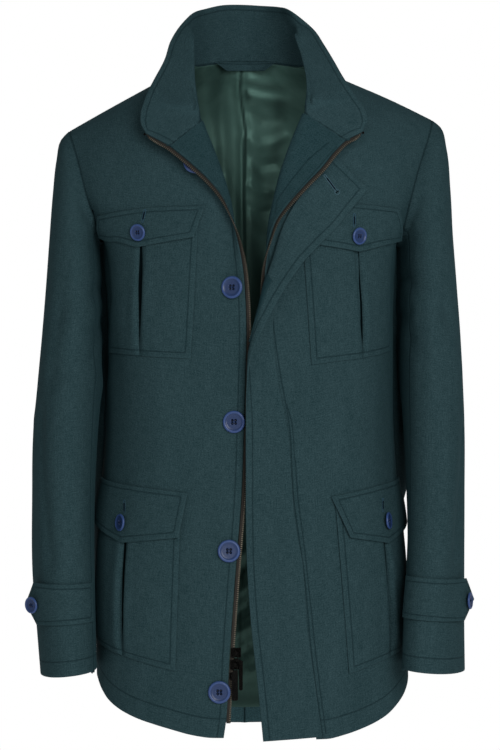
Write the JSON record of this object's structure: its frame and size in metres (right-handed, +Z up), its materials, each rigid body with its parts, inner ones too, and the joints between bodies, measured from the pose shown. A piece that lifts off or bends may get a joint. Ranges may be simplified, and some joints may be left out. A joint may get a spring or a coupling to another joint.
{
  "type": "field jacket",
  "caption": "Hip-length wool field jacket held open at the neck, with a standing collar, zip front under a buttoned storm flap, flapped patch pockets and cuff tabs.",
  "frame": {"origin": "where the wearer's shoulders hold the jacket: midway between the shoulder seams, level with the side neck points", "axes": "+Z up, -Y the way the wearer faces, +X the wearer's left"},
  "size_m": [0.5402, 0.2858, 0.9141],
  "materials": {
    "teal_wool": "matt brushed twill, dark teal",
    "green_lining": "satin, dark green",
    "blue_buttons": "satin, blue",
    "zip_tape": "woven tape, dark brown",
    "zip_brass": "antique, darkened",
    "pull_metal": "dark brown, satin"
  },
  "bodies": {
    "jacket": {"back_left": "teal_wool", "back_right": "teal_wool", "button_chest_left": "blue_buttons", "button_chest_right": "blue_buttons", "button_cuff_left": "blue_buttons", "button_cuff_right": "blue_buttons", "button_front_1": "blue_buttons", "button_front_2": "blue_buttons", "button_front_3": "blue_buttons", "button_front_4": "blue_buttons", "button_front_5": "blue_buttons", "button_hip_left": "blue_buttons", "button_hip_right": "blue_buttons", "collar": "teal_wool", "cuff_tab_left": "teal_wool", "cuff_tab_right": "teal_wool", "facing_left": "teal_wool", "facing_right": "teal_wool", "flap_chest_left": "teal_wool", "flap_chest_right": "teal_wool", "flap_hip_left": "teal_wool", "flap_hip_right": "teal_wool", "fly_strip": "teal_wool", "front_left": "teal_wool", "front_right": "teal_wool", "hanger_loop": "teal_wool", "lining_back": "green_lining", "pocket_chest_left": "teal_wool", "pocket_chest_right": "teal_wool", "pocket_hip_left": "teal_wool", "pocket_hip_right": "teal_wool", "sleeve_left_under": "teal_wool", "sleeve_left_upper": "teal_wool", "sleeve_right_under": "teal_wool", "sleeve_right_upper": "teal_wool", "slider_lower": "zip_brass", "slider_upper": "zip_brass", "storm_flap": "teal_wool", "zip_box": "zip_brass", "zip_pin": "zip_brass", "zip_tape_left": "zip_tape", "zip_tape_right": "zip_tape", "zip_top_stop_left": "zip_brass", "zip_top_stop_right": "zip_brass"},
    "upper_pull": {"pull_upper": "pull_metal"},
    "lower_pull": {"pull_lower": "pull_metal"}
  },
  "joints": [
    {"name": "upper_pull_swing", "type": "hinge", "parent": "jacket", "child": "upper_pull", "pos_m": [-0.0238, -0.1381, -0.686], "axis": [-1, 0, 0], "range_deg": [0, 150]},
    {"name": "lower_pull_swing", "type": "hinge", "parent": "jacket", "child": "lower_pull", "pos_m": [-0.0246, -0.1386, -0.7], "axis": [-1, 0, 0], "range_deg": [0, 150]}
  ]
}
